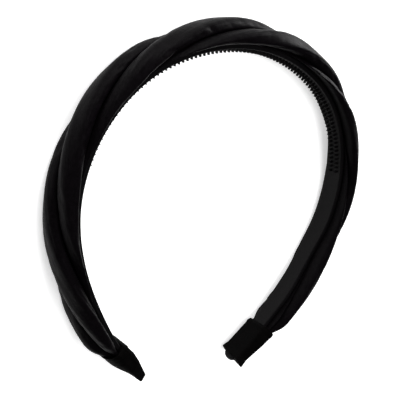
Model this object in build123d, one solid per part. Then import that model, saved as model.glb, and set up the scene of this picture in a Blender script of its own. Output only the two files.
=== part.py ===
from build123d import *
import os
from collections import namedtuple
from math import copysign, cos, degrees, hypot, pi, radians, sin

# Leather headband: a moulded plastic hoop with two rows of comb teeth on its inner face, a rope of three
# padded leather strands along its outer face, and a short leather wrap round each tip.
#
# It lies on its side. X runs from the left leg to the right leg, Y towards the crown and Z up, across the
# band. Lengths along the hoop are measured on its inner face from the crown, minus to the left leg and plus
# to the right one. "Out" is the distance from the inner face, away from the head.

# Driving sizes, in millimetres and degrees

# The hoop's inner face: three arcs from the crown to each tip
CROWN_RADIUS = 74.0
CROWN_TURN = 28.0
SHOULDER_RADIUS = 51.0
SHOULDER_TURN = 82.5
LEG_RADIUS = 127.0
LEG_TURN = 29.0

STRIP_THICKNESS = 1.8
STRIP_WIDTH = 8.4
STRIP_EDGE_RADIUS = 0.4
TIP_RADIUS = 3.2

# Where the strip's lower and upper edges run, as shares of its width below and above its middle line. Depth
# is a share of the hoop's depth.
StripEdges = namedtuple("StripEdges", "depth lower upper")
STRIP_EDGES = (
    StripEdges(-0.10, 0.25, 0.53),
    StripEdges(0.16, 0.25, 0.53),
    StripEdges(0.34, 0.46, 0.50),
    StripEdges(0.50, 0.49, 0.47),
    StripEdges(0.66, 0.49, 0.38),
    StripEdges(0.80, 0.48, 0.46),
    StripEdges(0.87, 0.42, 0.42),
    StripEdges(1.10, 0.42, 0.42),
)

# The hoop lies at a slant under the rope, in degrees: nearer its upper edge on the left, its lower on the right
STRIP_SLANT = 0.9

# Comb teeth: two rows of flat prongs centred on the crown, set off the strip's middle towards its upper edge
COMB_LENGTH = 163.0
TOOTH_PITCH = 1.85
TOOTH_LENGTH = 1.5
TOOTH_ROOT = 0.8
TOOTH_POINT = 0.35
TOOTH_WIDTH = 1.0
ROW_SPACING = 2.8
COMB_OFFSET = 0.45
COMB_DEPTH = 0.9

# The rope of three strands
STRANDS = 3
ROPE_WIDTH = 15.8
ROPE_RISE = 6.0
ROPE_UNDERSIDE = 1.7
UNDERSIDE_FULLNESS = 1.6
FIRST_STRAND_ANGLE = 56.0
STRAND_END = 0.945
STATION_PITCH = 4.6
STRAND_SIDES = 16
REST_FLAT = 0.35

# One strand's section in a rope of radius 1: an oval pressed flat where it meets its two neighbours
STRAND_CENTRE = 0.50
STRAND_HALF_DEPTH = 0.50
STRAND_HALF_BREADTH = 0.56
STRAND_SQUARENESS = 2.35
STRAND_GAP = 0.03
PRESSED_SHARPNESS = 6.0

# The lay, which is the length that a strand takes for a whole turn, from the left tip (-1) to the right (1)
Lay = namedtuple("Lay", "share pitch")
ROPE_LAY = (
    Lay(-1.00, 137.0),
    Lay(-0.48, 137.0),
    Lay(-0.43, 128.0),
    Lay(-0.27, 128.0),
    Lay(-0.21, 137.0),
    Lay(-0.10, 190.0),
    Lay(0.00, 183.0),
    Lay(0.43, 183.0),
    Lay(0.50, 196.0),
    Lay(1.00, 196.0),
)

# How the rope narrows from the crown to each tip
Taper = namedtuple("Taper", "share width rise")
ROPE_TAPER = (
    Taper(0.000, 1.00, 1.00),
    Taper(0.450, 1.00, 1.00),
    Taper(0.780, 1.08, 1.02),
    Taper(0.852, 0.99, 0.94),
    Taper(0.878, 0.67, 0.51),
    Taper(0.930, 0.64, 0.35),
    Taper(0.965, 0.62, 0.10),
    Taper(1.000, 0.60, 0.02),
)

# The wrap round each tip
WRAP_START = 0.888
WRAP_ENDS = {-1: 0.982, 1: 0.995}
WRAP_WALL = 0.9
WRAP_SIDES = 20
WRAP_LIP = 0.4
WRAP_FLARE = 0.9
WRAP_SKEW = 0.8

# The wrap's sections: the share of its length, and the shares of the lip, the flare and the skew there
Band = namedtuple("Band", "share lip flare skew")
WRAP_BANDS = (
    Band(0.00, 0.3, 0.0, 0.0),
    Band(0.03, 1.0, 0.0, 0.0),
    Band(0.09, 0.8, 0.0, 0.0),
    Band(0.14, 0.0, 0.0, 0.0),
    Band(0.32, 0.0, 0.0, 0.1),
    Band(0.50, 0.0, 0.0, 0.3),
    Band(0.68, 0.0, 0.0, 0.5),
    Band(0.84, 0.0, 0.1, 0.8),
    Band(0.93, 0.0, 0.8, 0.9),
    Band(1.00, 0.0, 1.0, 1.0),
)

CLEARANCE = 0.3

# Worked out from the sizes above

Arc = namedtuple("Arc", "centre_x centre_y radius turn_from turn_to length_from")


def half_arcs():
    """The three arcs of the inner face on the right half, from the crown's middle to the tip."""
    arcs = []
    x, y, turn, length = 0.0, 0.0, 0.0, 0.0
    for radius, sweep in (
        (CROWN_RADIUS, CROWN_TURN),
        (SHOULDER_RADIUS, SHOULDER_TURN),
        (LEG_RADIUS, LEG_TURN),
    ):
        centre_x = x - radius * sin(turn)
        centre_y = y - radius * cos(turn)
        turn_to = turn + radians(sweep)
        arcs.append(Arc(centre_x, centre_y, radius, turn, turn_to, length))
        x = centre_x + radius * sin(turn_to)
        y = centre_y + radius * cos(turn_to)
        length += radius * (turn_to - turn)
        turn = turn_to
    return arcs


ARCS = half_arcs()
LAST_ARC = ARCS[-1]
HALF_LENGTH = LAST_ARC.length_from + LAST_ARC.radius * (LAST_ARC.turn_to - LAST_ARC.turn_from)
ROPE_MIDDLE = ROPE_WIDTH / 2 - REST_FLAT
ROPE_BASE = STRIP_THICKNESS + CLEARANCE


def place(length, out, z):
    """The point at a length along the hoop, a distance out from its inner face, at height z."""
    side = 1 if length >= 0 else -1
    arc = [a for a in ARCS if a.length_from <= abs(length)][-1]
    turn = arc.turn_from + (abs(length) - arc.length_from) / arc.radius
    reach = arc.radius + out
    return Vector(side * (arc.centre_x + reach * sin(turn)), arc.centre_y + reach * cos(turn), z)


def between(table, share, column):
    """A column of a table at a share that lies between two of its rows."""
    for low, high in zip(table, table[1:]):
        if share <= high.share:
            part = (share - low.share) / (high.share - low.share)
            return getattr(low, column) + part * (getattr(high, column) - getattr(low, column))
    return getattr(table[-1], column)


def faceted_solid(rings, closed_run):
    """A solid with triangular faces through rings of points, capped at both ends or closed on itself."""
    faces = []
    sides = len(rings[0])
    pairs = list(zip(rings, rings[1:]))
    if closed_run:
        pairs.append((rings[-1], rings[0]))
    for ring, following in pairs:
        for i in range(sides):
            j = (i + 1) % sides
            faces.append(triangle(ring[i], ring[j], following[j]))
            faces.append(triangle(ring[i], following[j], following[i]))
    if not closed_run:
        for ring in (rings[0], rings[-1]):
            middle = sum(ring[1:], ring[0]) * (1 / sides)
            faces.extend(triangle(ring[i], ring[(i + 1) % sides], middle) for i in range(sides))
    solid = Solid(Shell(faces))
    return solid if solid.volume > 0 else Solid(solid.wrapped.Reversed())


def triangle(a, b, c):
    return Face(Wire.make_polygon([a, b, c], close=True))


# The hoop


def face_edges(out):
    """The edges of the curve a distance out from the inner face, from tip to tip."""
    right = [
        CenterArc(
            (arc.centre_x, arc.centre_y),
            arc.radius + out,
            90 - degrees(arc.turn_to),
            degrees(arc.turn_to - arc.turn_from),
        )
        for arc in ARCS
    ]
    return right + [mirror(edge, about=Plane.YZ) for edge in right]


def strip():
    """The strip, with its tips' corners rounded across the band and its long edges eased."""
    ends = [
        Line(place(side * HALF_LENGTH, 0, 0), place(side * HALF_LENGTH, STRIP_THICKNESS, 0))
        for side in (-1, 1)
    ]
    profile = make_face(face_edges(0) + face_edges(STRIP_THICKNESS) + ends)
    body = extrude(profile, amount=STRIP_WIDTH, both=True) & edge_limit()
    corners = [edge for edge in body.edges() if abs(edge.length - STRIP_THICKNESS) < 1e-3]
    body = fillet(corners, TIP_RADIUS)
    rims = [edge for edge in body.edges() if not joins_arcs(edge)]
    return fillet(rims, STRIP_EDGE_RADIUS)


def edge_limit():
    """A block right through the strip, whose edges follow the table from the crown to the tips."""
    depth = -place(HALF_LENGTH, 0, 0).Y
    runs, corners = [], []
    for edge, sign in (("lower", -1), ("upper", 1)):
        points = [(-row.depth * depth, sign * getattr(row, edge) * STRIP_WIDTH) for row in STRIP_EDGES]
        for near, far in zip(points, points[1:]):
            even = near[1] == far[1]
            runs.append(Line(near, far) if even else Spline(near, far, tangents=((-1, 0), (-1, 0))))
        corners.append((points[0], points[-1]))
    runs.extend(Line(lower, upper) for lower, upper in zip(*corners))
    return extrude(Plane.YZ * make_face(runs), amount=depth, both=True)


def joins_arcs(edge):
    """Whether an edge is a straight line across the band, where two arcs of the hoop meet."""
    return edge.geom_type == GeomType.LINE and abs(edge.tangent_at(0).Z) > 0.99 and not at_tip(edge)


def at_tip(edge):
    tip = place(HALF_LENGTH, STRIP_THICKNESS / 2, 0)
    middle = edge.center()
    return abs(abs(middle.X) - tip.X) < STRIP_THICKNESS and abs(middle.Y - tip.Y) < STRIP_THICKNESS


def comb(row_middle):
    """One row of prongs on a common back that is sunk in the strip."""
    count = int(COMB_LENGTH / TOOTH_PITCH) + 1
    front, back = [], []
    for i in range(count):
        at = (i - (count - 1) / 2) * TOOTH_PITCH
        front.append(place(at - TOOTH_ROOT / 2, COMB_DEPTH / 3, 0))
        front.append(place(at - TOOTH_POINT / 2, -TOOTH_LENGTH, 0))
        front.append(place(at + TOOTH_POINT / 2, -TOOTH_LENGTH, 0))
        front.append(place(at + TOOTH_ROOT / 2, COMB_DEPTH / 3, 0))
        back.append(place(at, COMB_DEPTH, 0))
    outline = Wire.make_polygon(front + back[::-1], close=True)
    return Pos(0, 0, row_middle - TOOTH_WIDTH / 2) * extrude(Face(outline), amount=TOOTH_WIDTH)


def hoop():
    """The strip and its comb, made about the strip's middle line and set at its slant under the rope."""
    rows = [comb(COMB_OFFSET + side * ROW_SPACING / 2) for side in (-1, 1)]
    return Pos(0, 0, ROPE_MIDDLE) * Rot(0, STRIP_SLANT, 0) * strip().fuse(*rows)


# The strands


def lay_turn(length):
    """The angle that the strands have turned between the crown and a length along the hoop, in radians."""
    steps = max(round(abs(length) / STATION_PITCH), 1)
    step = length / steps
    turned = 0.0
    for i in range(steps):
        share = (i + 0.5) * step / HALF_LENGTH
        turned += 2 * pi * step / between(ROPE_LAY, share, "pitch")
    return turned


def strand_radius(angle):
    """How far a strand reaches from its own centre, in a rope of radius 1; angle 0 points out of the rope."""
    to_side = STRAND_CENTRE * sin(radians(180 / STRANDS)) - STRAND_GAP
    deep = abs(cos(angle) / STRAND_HALF_DEPTH) ** STRAND_SQUARENESS
    broad = abs(sin(angle) / STRAND_HALF_BREADTH) ** STRAND_SQUARENESS
    limits = [(deep + broad) ** (1 / STRAND_SQUARENESS)]
    for normal in (radians(90 + 180 / STRANDS), -radians(90 + 180 / STRANDS)):
        limits.append(max(cos(angle - normal), 0) / to_side)
    return sum(limit**PRESSED_SHARPNESS for limit in limits) ** (-1 / PRESSED_SHARPNESS)


def rope_size(length):
    """The rope's half width and the share of its thickness at a length along the hoop."""
    share = abs(length) / HALF_LENGTH
    return between(ROPE_TAPER, share, "width") * ROPE_WIDTH / 2, between(ROPE_TAPER, share, "rise")


def rope_point(length, across, rise):
    """A point of the rope: across is -1 at its upper edge and 1 at its lower edge, rise -1 at the strip."""
    half_width, thickness = rope_size(length)
    if rise > 0:
        height = rise * ROPE_RISE
    else:
        pressed = -rise * (1 + UNDERSIDE_FULLNESS * thickness * (1 + rise))
        height = -min(pressed, 1) * ROPE_UNDERSIDE
    out = ROPE_BASE + (ROPE_UNDERSIDE + height) * thickness
    return place(length, out, max(ROPE_MIDDLE - across * half_width, 0))


def strand(index):
    """One strand from wrap to wrap, turning about the rope's middle as it goes."""
    end = STRAND_END * HALF_LENGTH
    stations = round(2 * end / STATION_PITCH)
    rings = []
    for station in range(stations + 1):
        length = -end + 2 * end * station / stations
        centre = radians(FIRST_STRAND_ANGLE + 360 * index / STRANDS) - lay_turn(length)
        ring = []
        for side in range(STRAND_SIDES):
            angle = 2 * pi * side / STRAND_SIDES
            reach = strand_radius(angle)
            across = STRAND_CENTRE * cos(centre) + reach * cos(centre + angle)
            rise = STRAND_CENTRE * sin(centre) + reach * sin(centre + angle)
            ring.append(rope_point(length, across, rise))
        rings.append(ring)
    return faceted_solid(rings, closed_run=False)


# The wraps


def taut_point(length, facing, growth, flare):
    """Where a tape drawn taut round strip and rope faces a given way: its distance out and its height."""
    to_out, to_z = sin(facing), cos(facing)
    half_width, thickness = rope_size(length)
    height = (ROPE_RISE if to_out > 0 else ROPE_UNDERSIDE) * thickness
    reach = hypot(half_width * to_z, height * to_out)
    rope_middle_out = ROPE_BASE + ROPE_UNDERSIDE * thickness
    on_rope = (rope_middle_out + height**2 * to_out / reach, half_width**2 * to_z / reach)
    on_strip = (STRIP_THICKNESS if to_out > 0 else 0, copysign(STRIP_WIDTH / 2, to_z))
    out, z = max(on_rope, on_strip, key=lambda corner: corner[0] * to_out + corner[1] * to_z)
    return out + growth * to_out, z + (growth + flare) * to_z


def wrap_ring(length, growth, flare, skew):
    """A ring round the strip and the rope; growth is its distance from them, skew leans it along the hoop."""
    ring = []
    for side in range(WRAP_SIDES):
        facing = 2 * pi * side / WRAP_SIDES
        lean = skew * taut_point(length, facing, growth, flare)[1] / (STRIP_WIDTH / 2)
        out, z = taut_point(length + lean, facing, growth, flare)
        ring.append((length + lean, out, ROPE_MIDDLE + z))
    return ring


def wrap(side):
    """The sleeve round one tip, with a raised lip at its upper end and a flared flat end."""
    start, end = WRAP_START * HALF_LENGTH, WRAP_ENDS[side] * HALF_LENGTH
    outer, inner = [], []
    for band in WRAP_BANDS:
        length = start + band.share * (end - start - WRAP_SKEW)
        lip = WRAP_LIP * band.lip
        flare = WRAP_FLARE * band.flare
        skew = WRAP_SKEW * band.skew
        outer.append(wrap_ring(length, CLEARANCE + WRAP_WALL + lip, flare, skew))
        inner.append(wrap_ring(length, CLEARANCE, 0, skew))
    rings = [[place(side * s, out, z) for s, out, z in ring] for ring in outer + inner[::-1]]
    return faceted_solid(rings, closed_run=True)


# Build, bring the origin under the middle of the footprint, and write one file for each piece

nodes = {"hoop": hoop(), "wrap_left": wrap(-1), "wrap_right": wrap(1)}
for number in range(STRANDS):
    nodes[f"strand_{number + 1}"] = strand(number)

boxes = [solid.bounding_box() for solid in nodes.values()]
middle_x = (min(box.min.X for box in boxes) + max(box.max.X for box in boxes)) / 2
middle_y = (min(box.min.Y for box in boxes) + max(box.max.Y for box in boxes)) / 2

os.makedirs("parts", exist_ok=True)
for name, solid in nodes.items():
    export_step(Pos(-middle_x, -middle_y, 0) * solid, f"parts/{name}.step")
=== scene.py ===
from collections import namedtuple
from math import cos, hypot, pi, radians, sin

import bpy
import numpy as np
from mathutils import Matrix, Vector


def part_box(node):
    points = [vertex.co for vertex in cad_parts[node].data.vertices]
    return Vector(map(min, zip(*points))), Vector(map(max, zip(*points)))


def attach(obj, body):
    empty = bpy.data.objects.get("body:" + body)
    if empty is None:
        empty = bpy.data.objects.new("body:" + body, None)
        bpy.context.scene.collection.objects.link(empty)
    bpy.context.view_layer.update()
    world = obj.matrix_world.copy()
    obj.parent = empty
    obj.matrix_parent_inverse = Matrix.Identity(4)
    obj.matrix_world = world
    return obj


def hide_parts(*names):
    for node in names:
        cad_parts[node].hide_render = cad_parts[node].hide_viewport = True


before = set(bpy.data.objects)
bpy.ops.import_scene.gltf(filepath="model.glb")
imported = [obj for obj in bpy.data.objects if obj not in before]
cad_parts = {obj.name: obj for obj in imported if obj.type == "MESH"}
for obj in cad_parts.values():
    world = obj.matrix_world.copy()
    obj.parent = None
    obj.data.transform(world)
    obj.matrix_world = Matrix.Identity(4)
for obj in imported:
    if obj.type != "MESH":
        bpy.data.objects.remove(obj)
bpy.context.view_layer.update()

# Leather headband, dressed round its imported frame: three padded leather strands laid up as a rope, a wound
# leather wrap at each tip, and a matt moulded plastic hoop with its comb teeth.
#
# Sizes are in millimetres and turned into metres where a mesh is made. Lengths along the hoop are measured on
# its inner face from the crown, minus to the left leg and plus to the right one, and "out" is the distance
# from the inner face, away from the head.

MM = 0.001

# The hoop, as in the frame

CROWN_RADIUS = 74.0
CROWN_TURN = 28.0
SHOULDER_RADIUS = 51.0
SHOULDER_TURN = 82.5
LEG_RADIUS = 127.0
LEG_TURN = 29.0
STRIP_THICKNESS = 1.8
STRIP_WIDTH = 8.4
CLEARANCE = 0.3

# The rope of strands, laid as in the frame and a little fuller: its strands lie closer together, sit deeper
# towards the strip by the seat, and rise slightly over the crown

STRANDS = 3
ROPE_WIDTH = 15.8
ROPE_RISE = 6.0
ROPE_UNDERSIDE = 1.7
UNDERSIDE_FULLNESS = 1.6
FIRST_STRAND_ANGLE = 56.0
STRAND_END = 0.945
REST_FLAT = 0.35
STRAND_CENTRE = 0.50
STRAND_HALF_DEPTH = 0.50
STRAND_HALF_BREADTH = 0.56
STRAND_SQUARENESS = 2.8
STRAND_GAP = 0.014
PRESSED_SHARPNESS = 9.0
SEAT = 0.20

# How far the rope runs for one turn of a strand, in millimetres, by the share of the hoop's half length; the
# turns are added up in short steps
LAY_STEP = 2
Lay = namedtuple("Lay", "share pitch")
ROPE_LAY = (
    Lay(-1.00, 137.0),
    Lay(-0.48, 137.0),
    Lay(-0.43, 128.0),
    Lay(-0.27, 128.0),
    Lay(-0.21, 137.0),
    Lay(-0.10, 190.0),
    Lay(0.00, 183.0),
    Lay(0.43, 183.0),
    Lay(0.50, 196.0),
    Lay(1.00, 196.0),
)

# The rope's width and thickness, as shares of the full ones; a spread is how far to either side a table is
# averaged
TAPER_SPREAD = 0.012
Taper = namedtuple("Taper", "share width rise")
ROPE_TAPER = (
    Taper(0.000, 1.00, 1.06),
    Taper(0.080, 1.00, 1.05),
    Taper(0.160, 1.00, 1.00),
    Taper(0.450, 1.00, 1.00),
    Taper(0.780, 1.08, 1.02),
    Taper(0.860, 0.99, 0.94),
    Taper(0.888, 0.69, 0.55),
    Taper(0.930, 0.65, 0.38),
    Taper(0.965, 0.62, 0.10),
    Taper(1.000, 0.60, 0.02),
)

# The meshes of the strands and the wraps; the girths set how the surface coordinates run round them

STATION_PITCH = 0.9
STRAND_SIDES = 72
STRAND_GIRTH = 22
WRAP_SIDES = 96
WRAP_STATIONS = 72
WRAP_GIRTH = 26

# The leather's own relief on a strand: short puckers near its edges, long folds and a slight swell. The pairs
# are the limits between which each pucker's share of the full size, or its lean, is drawn by chance

RELIEF_SEED = 11
PUCKERS_PER_STRAND = 190
PUCKER_DEPTH = 0.26
PUCKER_HALF_LENGTH = 0.9
PUCKER_HALF_TURN = 24.0
PUCKER_NEAR_ANGLE = 72.0
PUCKER_SPREAD = 20.0
PUCKER_DEPTH_SHARES = (0.35, 1.0)
PUCKER_LENGTH_SHARES = (0.7, 1.5)
PUCKER_TURN_SHARES = (0.5, 1.2)
PUCKER_LEANS = (0.03, 0.11)
FOLD_ANGLES = (-62.0, 58.0)
FOLD_DEPTH = 0.17
FOLD_HALF_TURN = 4.5
FOLD_WANDER = 6
FOLD_WANDER_RUN = 17
FOLD_WANDER_SHIFT = 2.1
FOLD_MEAN_STRENGTH = 0.55
FOLD_STRENGTH_CHANGE = 0.45
FOLD_STRENGTH_RUN = 23
FOLD_STRENGTH_SHIFT = 9
SWELL = 0.018
SWELL_WAVES = 7
SWELL_SHIFT = 2

# The wraps, from a share of the hoop's half length to another, by side: -1 is the left one

WRAP_START = 0.888
WRAP_ENDS = {-1: 0.993, 1: 0.995}
WRAP_LIP = 0.25
WRAP_FLARE = {-1: -0.15, 1: 0.9}
WRAP_INWARD = {-1: 0.75, 1: 0.1}
WRAP_SKEW = 0.8
LIP_SPREAD = 0.02
WRAP_SPREAD = 0.03

# How thick the wound tape lies along each wrap: full in the middle, and thin at the left wrap's end
Wall = namedtuple("Wall", "share left right")
WRAP_WALLS = (
    Wall(0.00, 0.30, 0.30),
    Wall(0.08, 0.95, 0.85),
    Wall(0.35, 1.35, 0.95),
    Wall(0.60, 1.15, 0.95),
    Wall(0.85, 0.60, 0.90),
    Wall(1.00, 0.25, 0.90),
)

# Where along a wrap its raised lip, its flare and its slanted end come in, as shares of the full ones
Band = namedtuple("Band", "share lip flare skew")
WRAP_BANDS = (
    Band(0.00, 0.3, 0.0, 0.0),
    Band(0.03, 1.0, 0.0, 0.0),
    Band(0.09, 0.8, 0.0, 0.0),
    Band(0.14, 0.0, 0.0, 0.0),
    Band(0.32, 0.0, 0.0, 0.1),
    Band(0.50, 0.0, 0.0, 0.3),
    Band(0.68, 0.0, 0.0, 0.5),
    Band(0.84, 0.0, 0.1, 0.8),
    Band(0.93, 0.0, 0.8, 0.9),
    Band(1.00, 0.0, 1.0, 1.0),
)

# The camera: where it looks in the row frame, and how it is turned about that point

LOOK_AT = Vector((-8.60, 1.38, 7.0))
AZIMUTH = 0.7144
ELEVATION = 0.2263
ROLL = 0.1937
DISTANCE = 294.4
PICTURE_WIDTH = 400
FOCAL_PIXELS = 803.4
FOCAL_SHARE = FOCAL_PIXELS / PICTURE_WIDTH
SENSOR = 36.0
CLIP_START = 0.01

# The floor and the light, in metres and watts

FLOOR_HALF = 3.0
WORLD_STRENGTH = 0.05

# A lamp that isn't mirrored lights the floor and leaves no highlight on gloss
Lamp = namedtuple("Lamp", "name at towards size power mirrored")
LAMPS = (
    Lamp("overhead", (0.1, 0.2, 1.2), (0, 0, 0), (1.6, 1.6), 24, False),
    Lamp("crown_rim", (-0.15, 0.75, 0.30), (0, 0.03, 0.01), (0.45, 0.15), 4.5, True),
    Lamp("crossing_glint", (0.85, 0.50, 0.06), (0.03, 0.06, 0.01), (0.15, 0.10), 5.5, True),
)

# Looks: the limits between which a material's colour and roughness vary, and how much it mirrors

Look = namedtuple("Look", "dark light smooth rough specular")
LEATHER_LOOK = Look((0.0013, 0.0010, 0.0013), (0.0026, 0.0020, 0.0026), 0.40, 0.56, 0.032)
TAPE_LOOK = Look((0.0008, 0.0007, 0.0007), (0.0015, 0.0013, 0.0013), 0.62, 0.78, 0.018)
PLASTIC_LOOK = Look((0.0020, 0.0018, 0.0020), (0.0030, 0.0027, 0.0030), 0.46, 0.56, 0.06)
FLOOR_DARK = (0.86, 0.86, 0.86)
FLOOR_LIGHT = (0.90, 0.90, 0.90)
FLOOR_ROUGHNESS = 0.9
FLOOR_SPECULAR = 0.1
FLOOR_GLOW = 0.55

# The shares of a pattern below which a material has its dark colour, and above which its light one
DARK_UP_TO = 0.3
LIGHT_FROM = 0.75

# Patterns of noise, by cells for each metre, and the depths of relief in metres

Pattern = namedtuple("Pattern", "coordinates scale detail roughness")
LEATHER_HOLLOWS = Pattern("Object", (95, 95, 95), 2, 0.5)
LEATHER_WRINKLES = Pattern("UV", (110, 620, 1), 3, 0.6)
LEATHER_PORES = Pattern("Object", (900, 900, 900), 4, 0.5)
LEATHER_GRAIN_SCALE = (2300, 2300, 2300)
LEATHER_HOLLOW_DEPTH = 0.0006
LEATHER_WRINKLE_DEPTH = 0.00022
LEATHER_PORE_DEPTH = 0.00006
LEATHER_GRAIN_DEPTH = 0.00005
TAPE_GRAIN = Pattern("Object", (2600, 2600, 2600), 3, 0.5)
TAPE_CREASES = Pattern("UV", (520, 60, 1), 2, 0.6)
TAPE_WEAR = Pattern("Object", (240, 240, 240), 2, 0.5)
TAPE_CREASE_DEPTH = 0.00030
TAPE_GRAIN_DEPTH = 0.00007
PLASTIC_TEXTURE = Pattern("Object", (1900, 1900, 1900), 2, 0.5)
PLASTIC_FLOW = Pattern("Object", (70, 70, 260), 2, 0.5)
PLASTIC_TEXTURE_DEPTH = 0.00003
FLOOR_MOTTLE = Pattern("Object", (4, 4, 4), 2, 0.5)

Arc = namedtuple("Arc", "centre_x centre_y radius turn_from turn_to length_from")


def half_arcs():
    """The three arcs of the inner face on the right half, from the crown's middle to the tip."""
    arcs = []
    x, y, turn, length = 0.0, 0.0, 0.0, 0.0
    for radius, sweep in (
        (CROWN_RADIUS, CROWN_TURN),
        (SHOULDER_RADIUS, SHOULDER_TURN),
        (LEG_RADIUS, LEG_TURN),
    ):
        centre_x = x - radius * sin(turn)
        centre_y = y - radius * cos(turn)
        turn_to = turn + radians(sweep)
        arcs.append(Arc(centre_x, centre_y, radius, turn, turn_to, length))
        x = centre_x + radius * sin(turn_to)
        y = centre_y + radius * cos(turn_to)
        length += radius * (turn_to - turn)
        turn = turn_to
    return arcs


ARCS = half_arcs()
HALF_LENGTH = ARCS[-1].length_from + ARCS[-1].radius * (ARCS[-1].turn_to - ARCS[-1].turn_from)
ROPE_MIDDLE = ROPE_WIDTH / 2 - REST_FLAT
ROPE_BASE = STRIP_THICKNESS + CLEARANCE

HOOP_LOW, HOOP_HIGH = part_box("hoop")
SHIFT_X = (HOOP_LOW.x + HOOP_HIGH.x) / 2 / MM
SHIFT_Y = HOOP_HIGH.y / MM - STRIP_THICKNESS


def place(length, out, z):
    """The point in metres at a length along the hoop, a distance out from its inner face, at height z."""
    side = 1 if length >= 0 else -1
    arc = [a for a in ARCS if a.length_from <= abs(length)][-1]
    turn = arc.turn_from + (abs(length) - arc.length_from) / arc.radius
    reach = arc.radius + out
    x = side * (arc.centre_x + reach * sin(turn)) + SHIFT_X
    y = arc.centre_y + reach * cos(turn) + SHIFT_Y
    return Vector((x, y, z)) * MM


def between(table, share, column):
    """A column of a table at a share that lies between two of its rows."""
    for low, high in zip(table, table[1:]):
        if share <= high.share:
            part = (share - low.share) / (high.share - low.share)
            return getattr(low, column) + part * (getattr(high, column) - getattr(low, column))
    return getattr(table[-1], column)


def eased(table, share, column, spread):
    """A column of a table, averaged over a short spread either side of the share, so that no corner shows."""
    steps = (-1.0, -0.5, 0.0, 0.5, 1.0)
    values = [between(table, min(max(share + step * spread, table[0].share), 1), column) for step in steps]
    return sum(values) / len(values)


# Meshes


def grid_object(name, rings, closed_run, uv_scale):
    """A smooth mesh object through rings of points in metres, with its ends capped or joined in a run."""
    count, sides = len(rings), len(rings[0])
    points = [tuple(point) for ring in rings for point in ring]
    faces = []
    spans = count if closed_run else count - 1
    for i in range(spans):
        for j in range(sides):
            following, beside = (i + 1) % count, (j + 1) % sides
            faces.append(
                (i * sides + j, i * sides + beside, following * sides + beside, following * sides + j)
            )
    if not closed_run:
        faces.append(tuple(reversed(range(sides))))
        faces.append(tuple(range((count - 1) * sides, count * sides)))
    mesh = bpy.data.meshes.new(name)
    mesh.from_pydata(points, [], faces)
    layer = mesh.uv_layers.new(name="surface")
    along, around = uv_scale
    for polygon in mesh.polygons[: spans * sides]:
        i, j = divmod(polygon.index, sides)
        corners = ((i, j), (i, j + 1), (i + 1, j + 1), (i + 1, j))
        for loop, (u, v) in zip(polygon.loop_indices, corners):
            layer.data[loop].uv = (u * along, v * around)
    mesh.polygons.foreach_set("use_smooth", [True] * len(mesh.polygons))
    mesh.update()
    piece = bpy.data.objects.new(name, mesh)
    bpy.context.scene.collection.objects.link(piece)
    return piece


def face_outwards(piece):
    """Turns the faces round if the closed mesh's volume comes out negative."""
    mesh = piece.data
    volume = 0.0
    for polygon in mesh.polygons:
        corners = [mesh.vertices[k].co for k in polygon.vertices]
        for b, c in zip(corners[1:], corners[2:]):
            volume += corners[0].dot(b.cross(c))
    if volume < 0:
        mesh.flip_normals()


# The strands


def lay_turn(length):
    """The angle that the strands have turned between the crown and a length along the hoop, in radians."""
    steps = max(round(abs(length) / LAY_STEP), 1)
    step = length / steps
    turned = 0.0
    for i in range(steps):
        turned += 2 * pi * step / between(ROPE_LAY, (i + 0.5) * step / HALF_LENGTH, "pitch")
    return turned


def strand_radius(angle):
    """How far a strand reaches from its own centre, in a rope of radius 1; angle 0 points out of the rope."""
    to_side = STRAND_CENTRE * sin(radians(180 / STRANDS)) - STRAND_GAP
    deep = abs(cos(angle) / STRAND_HALF_DEPTH) ** STRAND_SQUARENESS
    broad = abs(sin(angle) / STRAND_HALF_BREADTH) ** STRAND_SQUARENESS
    limits = [(deep + broad) ** (1 / STRAND_SQUARENESS)]
    for normal in (radians(90 + 180 / STRANDS), -radians(90 + 180 / STRANDS)):
        limits.append(max(cos(angle - normal), 0) / to_side)
    return sum(limit**PRESSED_SHARPNESS for limit in limits) ** (-1 / PRESSED_SHARPNESS)


def rope_size(length):
    """The rope's half width and the share of its thickness at a length along the hoop."""
    share = abs(length) / HALF_LENGTH
    width = eased(ROPE_TAPER, share, "width", TAPER_SPREAD)
    rise = eased(ROPE_TAPER, share, "rise", TAPER_SPREAD)
    return width * ROPE_WIDTH / 2, rise


def rope_point(length, across, rise):
    """A point of the rope: across is -1 at its upper edge and 1 at its lower edge, rise -1 at the strip."""
    half_width, thickness = rope_size(length)
    if rise > 0:
        height = rise * ROPE_RISE
    else:
        pressed = -rise * (1 + UNDERSIDE_FULLNESS * thickness * (1 + rise))
        height = -min(pressed, 1) * ROPE_UNDERSIDE
    seated = SEAT * min(max(-rise, 0) * 2, 1)
    out = ROPE_BASE - seated + (ROPE_UNDERSIDE + height) * thickness
    return place(length, out, max(ROPE_MIDDLE - across * half_width, 0))


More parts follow.
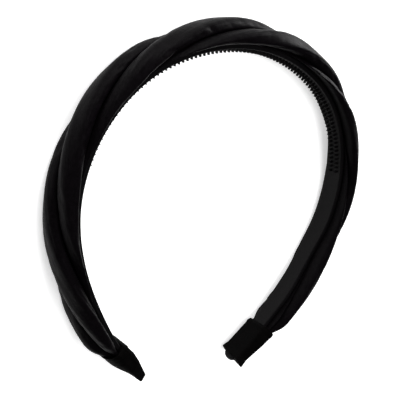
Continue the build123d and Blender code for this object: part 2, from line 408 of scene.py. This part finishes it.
def leather_relief(index, lengths, angles):
    """How much the leather stands in from a full strand, in millimetres, at each length and angle."""
    chance = np.random.default_rng(RELIEF_SEED + index)
    along = lengths[:, None]
    around = (np.degrees(angles)[None, :] + 180) % 360 - 180
    inward = np.zeros((len(lengths), len(angles)))
    for _ in range(PUCKERS_PER_STRAND):
        side = chance.choice((-1, 1))
        at = chance.uniform(lengths[0], lengths[-1])
        angle = side * (PUCKER_NEAR_ANGLE + chance.uniform(-PUCKER_SPREAD, PUCKER_SPREAD))
        depth = PUCKER_DEPTH * chance.uniform(*PUCKER_DEPTH_SHARES)
        half_length = PUCKER_HALF_LENGTH * chance.uniform(*PUCKER_LENGTH_SHARES)
        half_turn = PUCKER_HALF_TURN * chance.uniform(*PUCKER_TURN_SHARES)
        lean = side * chance.uniform(*PUCKER_LEANS)
        near = (along - at - lean * (around - angle)) / half_length
        turned = (around - angle) / half_turn
        inward += depth * np.exp(-(near**2) - turned**2)
    for fold in FOLD_ANGLES:
        wander = FOLD_WANDER * np.sin(along / FOLD_WANDER_RUN + index * FOLD_WANDER_SHIFT + fold)
        change = np.sin(along / FOLD_STRENGTH_RUN + index + fold / FOLD_STRENGTH_SHIFT)
        strength = FOLD_MEAN_STRENGTH + FOLD_STRENGTH_CHANGE * change
        inward += FOLD_DEPTH * strength * np.exp(-(((around - fold - wander) / FOLD_HALF_TURN) ** 2))
    return inward


def strand(index):
    """One padded strand from wrap to wrap, turning about the rope's middle as it goes."""
    end = STRAND_END * HALF_LENGTH
    count = round(2 * end / STATION_PITCH) + 1
    lengths = np.linspace(-end, end, count)
    angles = np.linspace(0, 2 * pi, STRAND_SIDES, endpoint=False)
    inward = leather_relief(index, lengths, angles)
    rings = []
    for i, length in enumerate(lengths):
        centre = radians(FIRST_STRAND_ANGLE + 360 * index / STRANDS) - lay_turn(length)
        full = 1 + SWELL * sin(2 * pi * SWELL_WAVES * i / count + SWELL_SHIFT * index)
        ring = []
        for j, angle in enumerate(angles):
            reach = strand_radius(angle) * full - inward[i, j] / ROPE_RISE
            across = STRAND_CENTRE * cos(centre) + reach * cos(centre + angle)
            rise = STRAND_CENTRE * sin(centre) + reach * sin(centre + angle)
            ring.append(rope_point(length, across, rise))
        rings.append(ring)
    uv_scale = (STATION_PITCH * MM, STRAND_GIRTH * MM / STRAND_SIDES)
    return grid_object(f"leather_strand_{index + 1}", rings, False, uv_scale)


# The wraps


def taut_point(length, facing, growth, flare):
    """Where a tape drawn taut round strip and rope faces a given way: its distance out and its height."""
    to_out, to_z = sin(facing), cos(facing)
    half_width, thickness = rope_size(length)
    height = (ROPE_RISE if to_out > 0 else ROPE_UNDERSIDE) * thickness
    reach = hypot(half_width * to_z, height * to_out)
    rope_middle_out = ROPE_BASE + ROPE_UNDERSIDE * thickness
    on_rope = (rope_middle_out + height**2 * to_out / reach, half_width**2 * to_z / reach)
    corner = STRIP_WIDTH / 2 if to_z > 0 else -STRIP_WIDTH / 2
    on_strip = (STRIP_THICKNESS if to_out > 0 else 0, corner)
    out, z = max(on_rope, on_strip, key=lambda point: point[0] * to_out + point[1] * to_z)
    return out + growth * to_out, z + (growth + flare) * to_z


def wrap_ring(side, length, growth, inward, flare, skew):
    """A ring round the strip and the rope: growth is its distance from them, the inward share of which moves
    from the outer face to the inner one, and skew leans the ring along the hoop."""
    ring = []
    for j in range(WRAP_SIDES):
        facing = 2 * pi * j / WRAP_SIDES
        thick = CLEARANCE + growth * (1 - inward * sin(facing))
        lean = skew * taut_point(length, facing, thick, flare)[1] / (STRIP_WIDTH / 2)
        out, z = taut_point(length + lean, facing, thick, flare)
        ring.append(place(side * (length + lean), out, ROPE_MIDDLE + z))
    return ring


def wrap(side, name):
    """The binding round one tip: a raised lip at its upper end, and a slanted flat end."""
    start, end = WRAP_START * HALF_LENGTH, WRAP_ENDS[side] * HALF_LENGTH
    run = end - start - WRAP_SKEW
    outer, inner = [], []
    for i in range(WRAP_STATIONS + 1):
        share = i / WRAP_STATIONS
        lip = WRAP_LIP * eased(WRAP_BANDS, share, "lip", LIP_SPREAD)
        flare = WRAP_FLARE[side] * eased(WRAP_BANDS, share, "flare", WRAP_SPREAD)
        skew = WRAP_SKEW * eased(WRAP_BANDS, share, "skew", WRAP_SPREAD)
        length = start + share * run
        wall = eased(WRAP_WALLS, share, "left" if side < 0 else "right", WRAP_SPREAD)
        outer.append(wrap_ring(side, length, wall + lip, WRAP_INWARD[side], flare, skew))
        inner.append(wrap_ring(side, length, 0, 0, 0, skew))
    uv_scale = (run / WRAP_STATIONS * MM, WRAP_GIRTH * MM / WRAP_SIDES)
    return grid_object(name, outer + inner[::-1], True, uv_scale)


# Materials


class Nodes:
    """A material's node tree, with short calls to add and join nodes."""

    def __init__(self, name):
        self.material = bpy.data.materials.new(name)
        self.material.use_nodes = True
        self.tree = self.material.node_tree
        self.shader = self.tree.nodes["Principled BSDF"]

    def add(self, kind, **settings):
        node = self.tree.nodes.new(kind)
        for key, value in settings.items():
            setattr(node, key, value)
        return node

    def join(self, source, output, target, socket):
        self.tree.links.new(source.outputs[output], target.inputs[socket])

    def scaled_place(self, coordinates, scale):
        """Object or surface coordinates, scaled to cells for each metre."""
        place_node = self.add("ShaderNodeTexCoord")
        mapping = self.add("ShaderNodeMapping")
        mapping.inputs["Scale"].default_value = scale
        self.join(place_node, coordinates, mapping, "Vector")
        return mapping

    def noise(self, pattern):
        node = self.add("ShaderNodeTexNoise")
        node.inputs["Scale"].default_value = 1.0
        node.inputs["Detail"].default_value = pattern.detail
        node.inputs["Roughness"].default_value = pattern.roughness
        self.join(self.scaled_place(pattern.coordinates, pattern.scale), "Vector", node, "Vector")
        return node

    def cell_edges(self, coordinates, scale):
        node = self.add("ShaderNodeTexVoronoi", feature="DISTANCE_TO_EDGE")
        node.inputs["Scale"].default_value = 1.0
        self.join(self.scaled_place(coordinates, scale), "Vector", node, "Vector")
        return node

    def ramp(self, source, output, low, high):
        """The value between two limits, from the source's 0 to 1."""
        node = self.add("ShaderNodeMapRange")
        node.inputs["To Min"].default_value = low
        node.inputs["To Max"].default_value = high
        self.join(source, output, node, "Value")
        return node

    def bump(self, source, output, height, below=None):
        """A bump of that height in metres, laid over another one."""
        node = self.add("ShaderNodeBump")
        node.inputs["Strength"].default_value = 1.0
        node.inputs["Distance"].default_value = height
        self.join(source, output, node, "Height")
        if below is not None:
            self.join(below, "Normal", node, "Normal")
        return node

    def colours(self, source, output, dark, light):
        node = self.add("ShaderNodeValToRGB")
        node.color_ramp.elements[0].color = (*dark, 1)
        node.color_ramp.elements[0].position = DARK_UP_TO
        node.color_ramp.elements[1].color = (*light, 1)
        node.color_ramp.elements[1].position = LIGHT_FROM
        self.join(source, output, node, "Fac")
        return node

    def finished(self, look, tone, sheen, skin):
        """The material: its colour follows the tone, its roughness the sheen, and its relief is the skin."""
        self.join(skin, "Normal", self.shader, "Normal")
        colour = self.colours(tone, "Fac", look.dark, look.light)
        self.join(colour, "Color", self.shader, "Base Color")
        gloss = self.ramp(sheen, "Fac", look.smooth, look.rough)
        self.join(gloss, "Result", self.shader, "Roughness")
        self.shader.inputs["Specular IOR Level"].default_value = look.specular
        return self.material


def padded_leather():
    """Soft black faux leather: fine grain, soft drawn wrinkles along the strand, and a low even gloss."""
    nodes = Nodes("padded_black_leather")
    grain = nodes.cell_edges("Object", LEATHER_GRAIN_SCALE)
    pores = nodes.noise(LEATHER_PORES)
    wrinkles = nodes.noise(LEATHER_WRINKLES)
    hollows = nodes.noise(LEATHER_HOLLOWS)
    deep = nodes.bump(hollows, "Fac", LEATHER_HOLLOW_DEPTH)
    lines = nodes.bump(wrinkles, "Fac", LEATHER_WRINKLE_DEPTH, deep)
    pitted = nodes.bump(pores, "Fac", LEATHER_PORE_DEPTH, lines)
    skin = nodes.bump(grain, "Distance", LEATHER_GRAIN_DEPTH, pitted)
    return nodes.finished(LEATHER_LOOK, tone=pores, sheen=hollows, skin=skin)


def wound_tape():
    """Matt black leather tape: a finer grain, with a few soft creases drawn round the tip."""
    nodes = Nodes("matt_black_tape")
    grain = nodes.noise(TAPE_GRAIN)
    creases = nodes.noise(TAPE_CREASES)
    worn = nodes.noise(TAPE_WEAR)
    drawn = nodes.bump(creases, "Fac", TAPE_CREASE_DEPTH)
    skin = nodes.bump(grain, "Fac", TAPE_GRAIN_DEPTH, drawn)
    return nodes.finished(TAPE_LOOK, tone=worn, sheen=worn, skin=skin)


def moulded_plastic():
    """Matt black moulded plastic, a little greyer than the leather, with a faint even texture."""
    nodes = Nodes("matt_black_plastic")
    texture = nodes.noise(PLASTIC_TEXTURE)
    flow = nodes.noise(PLASTIC_FLOW)
    skin = nodes.bump(texture, "Fac", PLASTIC_TEXTURE_DEPTH)
    return nodes.finished(PLASTIC_LOOK, tone=flow, sheen=flow, skin=skin)


def floor_paint():
    """Pale paint with a little glow of its own, so that the floor shows nearly white under soft shadows."""
    nodes = Nodes("pale_floor")
    mottle = nodes.noise(FLOOR_MOTTLE)
    colour = nodes.colours(mottle, "Fac", FLOOR_DARK, FLOOR_LIGHT)
    nodes.join(colour, "Color", nodes.shader, "Base Color")
    nodes.shader.inputs["Roughness"].default_value = FLOOR_ROUGHNESS
    nodes.shader.inputs["Specular IOR Level"].default_value = FLOOR_SPECULAR
    nodes.shader.inputs["Emission Color"].default_value = (1, 1, 1, 1)
    nodes.shader.inputs["Emission Strength"].default_value = FLOOR_GLOW
    return nodes.material


def dress(piece, material):
    piece.data.materials.clear()
    piece.data.materials.append(material)


# The stage


def floor():
    mesh = bpy.data.meshes.new("floor")
    corners = [(x * FLOOR_HALF, y * FLOOR_HALF, 0) for x, y in ((-1, -1), (1, -1), (1, 1), (-1, 1))]
    mesh.from_pydata(corners, [], [(0, 1, 2, 3)])
    mesh.update()
    plane = bpy.data.objects.new("floor", mesh)
    bpy.context.scene.collection.objects.link(plane)
    dress(plane, floor_paint())


def softbox(lamp):
    light = bpy.data.lights.new(lamp.name, "AREA")
    light.shape = "RECTANGLE"
    light.size, light.size_y = lamp.size
    light.energy = lamp.power
    box = bpy.data.objects.new(lamp.name, light)
    bpy.context.scene.collection.objects.link(box)
    box.location = lamp.at
    box.visible_glossy = lamp.mirrored
    box.rotation_euler = (Vector(lamp.towards) - Vector(lamp.at)).to_track_quat("-Z", "Y").to_euler()


def lighting():
    world = bpy.data.worlds.new("studio")
    world.use_nodes = True
    background = world.node_tree.nodes["Background"]
    background.inputs["Color"].default_value = (1, 1, 1, 1)
    background.inputs["Strength"].default_value = WORLD_STRENGTH
    bpy.context.scene.world = world
    for lamp in LAMPS:
        softbox(lamp)


def camera():
    """The photo's view: the hoop seen from inside its lower end, turned about the line of sight."""
    back = Vector((-sin(AZIMUTH) * cos(ELEVATION), sin(ELEVATION), cos(AZIMUTH) * cos(ELEVATION)))
    level = Vector((cos(AZIMUTH), 0, sin(AZIMUTH)))
    upward = back.cross(level)
    right = cos(ROLL) * level + sin(ROLL) * upward
    up = cos(ROLL) * upward - sin(ROLL) * level
    lens = bpy.data.cameras.new("photo_view")
    lens.sensor_width = SENSOR
    lens.lens = SENSOR * FOCAL_SHARE
    lens.clip_start = CLIP_START
    view = bpy.data.objects.new("photo_view", lens)
    bpy.context.scene.collection.objects.link(view)
    turned = Matrix((right, up, back)).transposed().to_4x4()
    view.matrix_world = Matrix.Translation((LOOK_AT + back * DISTANCE) * MM) @ turned
    bpy.context.scene.camera = view
    bpy.context.scene.view_settings.view_transform = "Standard"


# Dressing

leather = padded_leather()
for number in range(STRANDS):
    piece = strand(number)
    face_outwards(piece)
    dress(piece, leather)
    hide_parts(f"strand_{number + 1}")
    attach(piece, "root")

tape = wound_tape()
for side, node in ((-1, "wrap_left"), (1, "wrap_right")):
    piece = wrap(side, f"leather_{node}")
    face_outwards(piece)
    dress(piece, tape)
    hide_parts(node)
    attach(piece, "root")

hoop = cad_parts["hoop"]
dress(hoop, moulded_plastic())

floor()
lighting()
camera()
